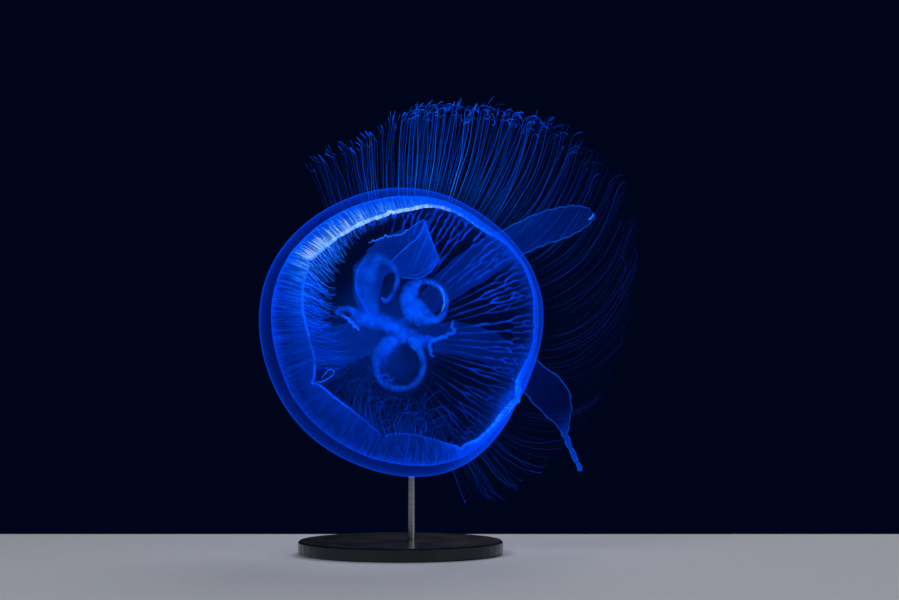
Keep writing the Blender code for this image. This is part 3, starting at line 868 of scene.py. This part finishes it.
def tentacle(angle, stout, fans=None):
    """One tentacle as (place, radius, kept), in the world frame."""
    root = bell_surface(ROOTED, angle % TURN, 0.5)
    turn = (math.degrees(angle) + 110) % 360 - 110
    if fans is None:
        fans = FAN_FROM < turn + chance.gauss(0, FAN_STRAYS) < FAN_TO
        fans = fans and not (turn > MIXED_FROM and chance.random() < MIXED_SHARE)
    kind = FAN_KIND if fans else FRINGE_KIND
    *run, light = (fan_run if fans else fringe_run)(angle, turn, root)
    stride = chance.uniform(*kind.stride) * (1 if fans else 3 + abs(run[3]))
    waver, wave = chance.uniform(0, TURN), chance.uniform(*WAVES) * MM
    strength = chance.uniform(*(STOUT_STRENGTHS if stout else FINE_STRENGTHS))
    strength **= 2 if stout else 1
    # Painted shade: where the painted light is low, the fan's tentacles are drawn fainter.
    if fans and light < FAINT_BELOW_LIGHT:
        strength = 2.2 * strength ** 2 if stout else 0.5 * strength
    bead = BEAD if fans and chance.random() < BEADED else 0.0
    radius = kind.radius if stout else FINE_RADIUS
    # Painted highlight: the fringe is whitened where its painted light is strongest.
    painted_highlight = 0 if fans else 0.5 * max(0, light - 0.9)
    places = tentacle_places(kind, run, stride * MM, waver, wave)
    path = []
    for step, place in enumerate(places):
        t = step / (len(places) - 1)
        # Painted highlight on the tips of the fan, in the lit stretch of the rim.
        tip_light = smooth(t, *TIP) * smooth(turn, *TIPS_LIT) if fans else 0.0
        shown = 0.25 + 0.75 * smooth(t, *HIDDEN) if fans else 1.0
        lumps = 1 + kind.lumps * noise.noise(place * LUMPS) + bead * smooth(t, *BEAD_AT)
        density = kind.density * lumps * light * strength * shown * (1 + 3.2 * tip_light)
        pale = kind.pale * light * (1 - t) * strength + 0.3 * tip_light * light + painted_highlight
        size = radius * (1 - 0.35 * smooth(t, 0, 0.6) + 0.15 * tip_light)
        path.append((to_world(place), size, (density, pale, CORD_GLOW)))
    return path


paths = []
for count, stout in ((STOUT, True), (FINE, False)):
    for number in range(count):
        angle = (number + chance.uniform(-0.5, 0.5)) / count * TURN
        paths.append(tentacle(angle, stout))
for number in range(FRINGE_EXTRA):
    angle = math.radians(chance.uniform(*FRINGE_SPAN))
    paths.append(tentacle(angle, chance.random() < 0.5, False))
tentacles = tubes(paths)
complete(tentacles, "tentacles", cord_finish("tentacle_tissue", 2 * MM, 0.3), LOBES)

# %% [markdown]
# ## Gonads
#
# Four horseshoe gonads hang under the crown. Each is a ring of folded tissue, thin on one
# side and swollen on the other, that runs in to the mouth. GONADS gives how dense each is
# and its stations: where (mm right and up from the bell's middle, as seen) and how thick. A
# cylinder cut into rings is bent along them, with the lumps of packed tissue, and lies under
# the bell's roof.

# %% Gonads
GONADS = {
    "gonad_upper_left": (0.27, (
        (-17, 30.5, 1.8), (-12.5, 27.5, 2.1), (-8, 31.5, 2.1), (-4.2, 38.5, 2.2),
        (-2.5, 46.5, 2.4), (-4.8, 54.5, 2.4), (-10, 60.5, 3.0), (-18.5, 63.5, 5.0),
        (-27, 57.5, 8.3), (-30.5, 46.5, 8.8), (-30, 35, 8.4), (-28.5, 24, 7.4),
        (-23, 13.5, 6.5), (-12, 7.5, 5.6), (-1, 3, 4.4),
    )),
    "gonad_upper_right": (0.46, (
        (13, 40, 3.2), (19, 44, 2.8), (27, 43.5, 2.3), (35, 38, 2.5), (39.5, 28, 2.6),
        (38, 18, 2.6), (32.5, 11.5, 3.2), (24.5, 12.8, 5.9), (17, 15.5, 8.3),
        (11.3, 21.5, 8.6), (8, 31, 6.6), (11, 39, 5.8), (18.5, 45.5, 3.6),
    )),
    "gonad_bottom": (0.26, (
        (-3, -5, 4.6), (-11, -11.5, 6.8), (-19, -21.5, 5.2), (-21, -31, 3.1),
        (-18.5, -40.5, 2.4), (-10.5, -47, 2.5), (0, -49, 2.6), (10.5, -45.5, 2.6),
        (17.5, -38.5, 2.8), (20, -27, 2.9), (17.5, -16.5, 3.5), (12.5, -9, 5.0),
        (7, -5, 4.4),
    )),
    "gonad_left": (0.42, (
        (-35.5, 3, 1.6), (-42.5, 9, 1.6), (-50, 14.5, 1.8), (-55.5, 17, 2),
        (-52.5, 20, 2.4), (-46, 21, 2.6), (-40, 17.5, 3.7), (-32, 12, 5.1),
        (-22, 8.5, 5.5),
    )),
}
GONAD_HAZE = 1.32               # its cloudy outer layer, as a share of its thickness
GONAD_SOFTNESS = 0.82           # how much the tissue thins out towards its edges
GONAD_DEPTH = 4.5 * MM
GONAD_CUTS, GONAD_SIDES = 110, 24
GONADS_MEET = 20                # mm from the bell's middle, where the tissue is denser
GONAD_GRAIN, GONAD_FOLD, GONAD_EDGE = 2.6 * MM, 9 * MM, 1.8
HANG = 1.7 * MM
ROOF_ENDS, HALVINGS, NUDGES = 0.7, 24, 6


def inner_height(point):
    """Height of the bell's inner surface over a place near the crown."""
    angle = math.atan2(point.y, point.x)
    low, high = 0.0, ROOF_ENDS
    for _ in range(HALVINGS):
        middle = (low + high) / 2
        reached = bell_point(middle, angle, 1).to_2d().length
        low, high = (middle, high) if reached < point.length else (low, middle)
    return bell_point(low, angle, 1).z


def under_roof(x, y, drop):
    """The leaned place under the bell's roof that is seen at x, y."""
    flat = Vector((x, y))
    for _ in range(NUDGES):
        place = Vector((flat.x, flat.y, inner_height(flat) - drop))
        seen = lean(place)
        flat += Vector((x - seen.x, y - seen.y))
    return lean(place)


def gonad_finish():
    """Gonad tissue: milky and folded, with brighter grains of ripe cells."""
    made, tree = new_material("gonad_tissue")
    _, density, pale, glow = kept(tree)
    folds = grain(tree, GONAD_FOLD, 3.0) * 1.9 - 0.45
    both = folds * (grain(tree, GONAD_GRAIN, 4.0) * 2.0 + 1.0)
    cover = cord(density * both, GONAD_EDGE)
    flesh(cover, pale + (both - 1.0) * 0.15, glow, relief(both, 0.4, 0.7 * MM))
    return made


def sideways(points, t, step):
    """The way across a path, as seen from in front."""
    ahead = along_stations(points, min(1, t + step))
    behind = along_stations(points, max(0, t - step))
    return Vector((behind[1] - ahead[1], ahead[0] - behind[0])).normalized()


def ringed_cylinder(cuts, sides):
    """A unit cylinder with its wall cut across into rings."""
    bpy.ops.mesh.primitive_cylinder_add(vertices=sides, radius=1, depth=1)
    made = bpy.context.object
    bpy.ops.object.mode_set(mode="EDIT")
    bpy.ops.mesh.select_all(action="DESELECT")
    cage = bmesh.from_edit_mesh(made.data)
    for edge in cage.edges:
        edge.select = abs(edge.verts[0].co.z - edge.verts[1].co.z) > 0.5
    bmesh.update_edit_mesh(made.data)
    bpy.ops.mesh.subdivide(number_cuts=cuts)
    bpy.ops.object.mode_set(mode="OBJECT")
    return made


def gonad_shape(dense, stations):
    def shape(place):
        along, around = place.z + 0.5, math.atan2(place.y, place.x)
        x, y, size = along_stations(stations, along)
        lump = noise.noise(Vector((along * 14, math.cos(around), math.sin(around) + x / 60)))
        lump += 0.6 * noise.noise(Vector((along * 40, 2 * math.cos(around), y / 20)))
        ends = math.sqrt(max(0.0, 1 - abs(2 * along - 1) ** 16))
        size *= GONAD_HAZE * MM * (1 + 0.22 * lump) * ends
        aside = sideways(stations, along, 0.01) * size * math.cos(around)
        flat = Vector((x, y)) * MM + aside
        tall = min(size, GONAD_DEPTH)
        where = under_roof(flat.x, flat.y, HANG + tall - tall * math.sin(around))
        middle = math.exp(-(Vector((x, y)).length / GONADS_MEET) ** 2)
        soft = 1.08 * (1 - GONAD_SOFTNESS * math.cos(around) ** 2)
        return to_world(where), ((dense + 0.4 * middle) * soft, 0.1 + 0.2 * middle, 0.4)
    return shape


gonad_tissue = gonad_finish()
for name, numbers in GONADS.items():
    gonad = ringed_cylinder(GONAD_CUTS, GONAD_SIDES)
    press(gonad, gonad_shape(*numbers))
    complete(gonad, name, gonad_tissue, [name])

# %% [markdown]
# ## Mouth
#
# The mouth hangs below the stomach as a short stalk with four lips, which run out into the
# four arms. A cylinder, cut across into rings and pinched between the lips, gives it.

# %% Mouth
STOMACH = Vector((8 * MM, 4 * MM))
MOUTH_LEVEL = 18 * MM
MOUTH_CUTS, MOUTH_SIDES = 20, 72
MOUTH_LOOK = (0.5, 0.22, 0.45)  # density, paleness and glow


def mouth_shape(place):
    angle = math.atan2(place.y, place.x)
    rise = place.z + 0.5
    lips = abs(math.cos(2 * angle + 0.5)) ** 0.7
    width = (4 + 4 * rise ** 2 + 8 * lips * (1 - 0.6 * rise)) * MM
    width *= 1 + 0.2 * noise.noise(Vector((3 * math.cos(angle), 3 * math.sin(angle), 6 * rise)))
    flat = STOMACH + Vector((math.cos(angle), math.sin(angle))) * width
    level = MOUTH_LEVEL + (inner_height(flat) - HANG / 2 - MOUTH_LEVEL) * rise
    return to_world(lean(Vector((flat.x, flat.y, level)))), MOUTH_LOOK


mouth = ringed_cylinder(MOUTH_CUTS, MOUTH_SIDES)
press(mouth, mouth_shape)
complete(mouth, "mouth", gonad_tissue, ["manubrium"])

# %% [markdown]
# ## Oral arms
#
# Each arm is a long folded curtain whose edges are frilled. A grid is pressed on to the
# sheet between the arm's two edges and ruffled towards them, then Solidify gives it its
# thickness. A cloth simulation would sag it, but these arms drift and do not hang. Each
# entry gives the arm's CAD pieces, how frilled its two edges are, how much it hides, where
# along it a firm hem begins (if it has one), how it glows from root to tip, and its
# stations: its two edges, how near they are, and its fold, in mm.

# %% Oral arms
NO_HEM = 2
ARMS = {
    "oral_arm_upper_right": SimpleNamespace(
        pieces=("root", "blade"), frills=(0.7, 0.7), cover=0.45, hem_from=0.4,
        glows=(0.21, 0.19, 0.13, 0.09, 0.11), stations=(
            (9, 14, 13, 5, 9, 0), (25, 43, 38, 24, 1, 7), (57, 72, 78, 48, -16, 9),
            (89, 90, 106, 67, -33, 8), (120, 105, 127, 77, -47, 7),
            (144, 112, 150, 85, -58, 6), (162, 113, 167, 95, -65, 4),
            (172, 108, 175, 104, -70, 0),
        ),
    ),
    "oral_arm_lower_right": SimpleNamespace(
        pieces=("root", "blade", "tail"), frills=(0.8, 0.7), cover=0.40, hem_from=0.4,
        glows=(0.36, 0.20, 0.09, 0.035, 0.05, 0.5, 0.75), stations=(
            (13, 3, 9, -6, 9, 0), (44, 8, 28, -16, 3, 7), (70, 4, 55, -22, -8, 8),
            (93, -7, 84, -31, -23, 8), (122, -27, 105, -50, -42, 8),
            (147, -48, 121, -68, -58, 7), (153, -72, 140, -86, -71, 4),
            (150, -92, 145, -95, -80, 1), (157, -111, 153, -112, -88, 0),
            (164, -127, 161, -128, -94, 0),
        ),
    ),
    "oral_arm_top": SimpleNamespace(
        pieces=("root", "blade"), frills=(1.2, 0.2), cover=0.40, hem_from=NO_HEM,
        glows=(0.30, 0.28, 0.27, 0.26, 0.26, 0.27, 0.36, 0.50, 0.34, 0.26, 0.26), stations=(
            (-9, 12, 2, 12, 9, 0), (-36, 22, -19, 17, 3, 5), (-38, 45, -18, 38, -3, 5),
            (-32, 67, -13, 51, -10, 4), (-18, 83, -2, 52, -18, 4), (4, 91, 16, 51, -25, 3),
            (17, 98, 30, 58, -25, 2), (20, 97, 34, 63, -15, 0), (13, 84, 25, 52, -8, 2),
            (3, 74, 13, 48, -6, 3), (-8, 63, 1, 47, -7, 2),
        ),
    ),
    "oral_arm_left": SimpleNamespace(
        pieces=("root", "blade"), frills=(1.3, 1.0), cover=0.20, hem_from=NO_HEM,
        glows=(0.42, 0.30, 0.22), stations=(
            (-9, 7, -9, -4, 9, 0), (-33, 10, -28, -20, 2, 6), (-60, 4, -55, -28, -8, 7),
            (-83, -5, -80, -28, -18, 5), (-101, -17, -100, -24, -26, 1),
        ),
    ),
}
ARM_THICKNESS = 0.8 * MM
ARM_SHADE = "#00186a"
ARM_LENGTHS, ARM_WIDTHS = 260, 28
FRILL = 1.4 * MM
RUFFLES, FINE_RUFFLES, HEM_WAVES = 46, 119, 83
SECOND_EDGE = 5.7
HEM_ZONE, VEINS, VEINED = (0.93, 0.99), (3.0, 14.0, 1.0), (0.3, 0.7)
ROOT_CLEARS = (0.02, 0.30, 0.3, 1.0)


def arm_finish():
    """Arm tissue: a cloudy curtain with a painted glow, an emission with no lamp, and a firmer,
    paler hem that glows more.
    """
    made, tree = new_material("oral_arm_tissue")
    place, along, across, lit = kept(tree)
    _, cover, _, _ = kept(tree, "cover")
    hem = band(abs(across * 2.0 - 1.0), *HEM_ZONE)
    veins = band(grain(tree, 1.0, 2.0, VEINS, place), *VEINED)
    # Painted light: the glow is an emission set along the arm and raised at the hem.
    glow = lit * (veins * 0.35 + 0.8) + hem * 0.35
    density = cover * band(along, *ROOT_CLEARS) + hem * 0.15
    flesh(wall(density), hem * 0.3, glow, shade=ARM_SHADE)
    return made


def straight_point(stations, share, across):
    x0, y0, x1, y1, near, _ = along_stations(stations, share)
    return Vector((x0 + (x1 - x0) * across, y0 + (y1 - y0) * across, near)) * MM


def ruffled(arm, share, across, seed):
    """(how far the sheet is thrown off its plane, how far its hem strays edgeways)"""
    second = across >= 0.5
    side = abs(2 * across - 1)
    frill = FRILL * arm.frills[second] * smooth(side, 0.45, 1.0) * smooth(share, 0.0, 0.08)
    phase = seed + SECOND_EDGE * second
    wander = 2.5 * noise.noise(Vector((share * 9, phase, 0)))
    ruffle = math.sin(share * RUFFLES + phase + wander)
    ruffle += 0.6 * math.sin(share * FINE_RUFFLES + 2 * phase) * smooth(side, 0.75, 1)
    return frill * ruffle, frill * 0.45 * math.sin(share * HEM_WAVES + phase * 3)


def arm_shape(arm, seed):
    """Presses a unit grid on to an arm: x along it, y from one edge to the other."""
    def shape(place):
        share, across = place.x + 0.5, place.y + 0.5
        here = straight_point(arm.stations, share, across)
        along = straight_point(arm.stations, min(1, share + 0.004), across)
        along -= straight_point(arm.stations, max(0, share - 0.004), across)
        width = straight_point(arm.stations, share, 1)
        width -= straight_point(arm.stations, share, 0)
        fold = along_stations(arm.stations, share)[5] * MM * 4 * across * (1 - across)
        thrown, hem = ruffled(arm, share, across, seed)
        edgeways = width.normalized() * (1 if across > 0.5 else -1)
        moved = here + along.cross(width).normalized() * (fold + thrown) + edgeways * hem
        side = across if share > arm.hem_from else 0.5 + (across - 0.5) * 0.8
        glow, = along_stations([(value,) for value in arm.glows], share)
        return to_world(moved), (share, side, glow)
    return shape


arm_tissue = arm_finish()
for seed, (name, numbers) in enumerate(ARMS.items()):
    bpy.ops.mesh.primitive_grid_add(
        x_subdivisions=ARM_LENGTHS, y_subdivisions=ARM_WIDTHS, size=1,
    )
    arm = bpy.context.object
    press(arm, arm_shape(numbers, seed))
    keep(arm, [(numbers.cover, 0.0, 0.0)] * len(arm.data.vertices), "cover")
    thick = arm.modifiers.new("Wall", "SOLIDIFY")
    thick.thickness = ARM_THICKNESS
    thick.offset = 0
    bpy.ops.object.modifier_apply(modifier="Wall")
    complete(arm, name, arm_tissue, [f"{name}_{piece}" for piece in numbers.pieces])

# %% [markdown]
# ## Frills and filaments
#
# Where an arm's lip is crinkled, its edge doubles back so often that it reads as a bright
# wavy cord. Inside the bottom gonad's ring, gastric filaments curl like fine threads. Both
# are tubes along a few points, and the frills are thrown from side to side. The last frill
# is a painted highlight: a pale cord laid along the upper right gonad's ring.
#
# FRILLS: points (mm right, up and near; those with no near lie under the bell's roof),
# radius and swing in mm, how many swings, density and paleness.

# %% Frills
FRILLS = (
    (((47.5, 10, 3), (45.5, 6, 3), (45.5, 0.5, 3), (41, -3.5, 4), (34.5, -5, 4), (29, -7, 5),
      (25.5, -12.5, 5), (26, -18, 5), (29.5, -21.5, 3)), 1.8, 1.5, 5.3, 0.42, 0.22),
    (((28, -5.5, 4), (20, -6, 4), (12, -3, 3)), 3.2, 1.6, 3, 0.2, 0.1),
    (((-46, 12, 1), (-28, 10, 2), (-10, 6, 3), (4, -1, 3)), 7, 1.5, 2, 0.13, 0.05),
    (((-16, -20, 1), (-8, -8, 2), (4, -5, 2), (16, -8, 2), (30, -7, 2)), 6.5, 1.5, 2, 0.12, 0.05),
    (((-29, 78.5, -12), (-23, 81, -15), (-16.5, 83.5, -18), (-8.5, 85.5, -21), (-1, 86.5, -23),
      (3.5, 89, -25), (7, 91, -25)), 0.7, 0.7, 11, 0.6, 0.5),
    (((-8.6, 61.7, -5.5), (5.7, 75.5, -4.5), (13.4, 82.1, -6), (18.9, 89.8, -11),
      (20.2, 95.3, -14)), 0.5, 0.3, 2, 0.9, 0.3),
    (((5, 89.5, -23), (17.8, 98.8, -22), (20.8, 96, -14), (26.6, 79.9, -14),
      (33.2, 64.5, -14)), 0.45, 0.3, 2, 0.8, 0.25),
    (((-0.9, 51.3, -6), (12.3, 50.2, -5), (23.3, 56.8, -7), (27.7, 65.6, -11),
      (26.6, 75.5, -14)), 0.42, 0.3, 2, 0.6, 0.15),
    (((-0.9, 48.5, -6), (13.4, 47.4, -5), (25.5, 52.4, -7), (32.7, 64.5, -13)),
     0.42, 0.3, 2, 0.6, 0.15),
    (((168, 100.5, -68), (171.5, 103, -69), (173, 106.5, -70)), 0.9, 0.5, 2, 0.7, 0.5),
    (((-78, -45, -49), (-71.3, -44.9, -47), (-62.5, -39.6, -45), (-60.7, -35.6, -44),
      (-65.1, -34.3, -45), (-72.2, -42.2, -48)), 0.7, 0.3, 2, 0.6, 0.3),
    (((-51, 15.5), (-48, 12.5), (-42.5, 9.5), (-39, 5), (-35, 2)), 0.9, 1.5, 4, 0.6, 0.45),
    (((-29.5, 63.4), (-36.1, 56.1), (-38.7, 45.8), (-37.6, 35.5), (-33.9, 28.2), (-30.2, 20.9),
      (-24.4, 15)), 1.6, 0.4, 2, 0.26, 0.1),
    # Painted highlight: no lip, but a pale cord along the upper right gonad's ring.
    (((31.4, 41.4), (35.8, 37), (38, 29.7), (38, 23.8), (35.8, 17.9)), 1.0, 0.2, 2, 0.5, 0.6),
)
FRILL_DROP = 2.5 * MM
FRILL_GLOW = 0.55
FILAMENTS, FILAMENT_STEPS = 40, 14
FILAMENT_RADIUS, FILAMENT_DROP = 0.45 * MM, 7 * MM
FILAMENT_STRIDE = 0.9           # mm
FILAMENT_LOOK = (0.13, 0.10, 0.4)
FILAMENT_MIDDLE = (-0.5, -28)


def squiggle(points, radius, swing, swings, density, pale):
    steps = 16 * len(points)
    path = []
    for step in range(steps + 1):
        t = step / steps
        x, y, *near = along_stations(points, t)
        sway = 2 * noise.noise(Vector((2 * swings * t, radius, points[0][0])))
        sway += noise.noise(Vector((6 * swings * t, swing, points[0][0])))
        flat = (Vector((x, y)) + sideways(points, t, 0.02) * swing * sway) * MM
        lump = 1 + 0.3 * noise.noise(Vector((20 * t, swing, points[0][0])))
        ends = 0.3 + 0.7 * math.sin(math.pi * min(1, 4 * t, 4 - 4 * t) / 2)
        if near:
            place = Vector((flat.x, flat.y, near[0] * MM))
        else:
            place = under_roof(flat.x, flat.y, FRILL_DROP)
        look = (density * lump, pale, FRILL_GLOW)
        path.append((to_world(place), radius * MM * lump * ends, look))
    return path


frills = tubes([squiggle(*entry) for entry in FRILLS], 8)
complete(frills, "lip_frills_and_highlight", cord_finish("lip_tissue", 2.5 * MM, 1.0), [])

filament_paths = []
for _ in range(FILAMENTS):
    x, y, _ = along_stations(GONADS["gonad_bottom"][1], chance.uniform(0.05, 0.45))
    way = math.atan2(FILAMENT_MIDDLE[1] - y, FILAMENT_MIDDLE[0] - x) + chance.gauss(0, 0.5)
    path = []
    for _ in range(FILAMENT_STEPS):
        place = under_roof(x * MM, y * MM, FILAMENT_DROP)
        path.append((to_world(place), FILAMENT_RADIUS, FILAMENT_LOOK))
        way += chance.gauss(0, 0.4)
        x += FILAMENT_STRIDE * math.cos(way)
        y += FILAMENT_STRIDE * math.sin(way)
    filament_paths.append(path)
filaments = tubes(filament_paths)
complete(filaments, "gastric_filaments", cord_finish("filament_tissue", 2 * MM, 0.5),
         [])

# %% [markdown]
# ## The stand
#
# A swimming animal needs something to hold it up: a disc of black acrylic, sawn, flame
# polished and faintly scuffed, and a rod of brushed stainless steel. Their CAD solids have
# the right shape, so they stay and only take finishes.

# %% Stand
STAND_FINISHES = {
    "stand_base": hard_finish(
        "black_acrylic", tints=((0.3, "#0c0d10"), (0.75, "#1b1d22")),
        mottle=(16.67 * MM, 5.0), rough=(0.16, 0.12), bumps=(0.05, 0.05 * MM),
        scuffs=(1.43 * MM, 2.0), IOR=1.49,
    ),
    "stand_rod": hard_finish(
        "brushed_stainless_steel", tints=((0.3, "#a3a6ab"), (0.7, "#c9ccd1")),
        mottle=(16.67 * MM, 3.0, (1.0, 1.0, 60.0)), rough=(0.2, 0.22),
        bumps=(0.15, 0.05 * MM), Metallic=1.0,
    ),
}
for node, finish in STAND_FINISHES.items():
    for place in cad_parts[node].material_slots:
        place.material = finish
    print(node, "keeps its CAD shape")
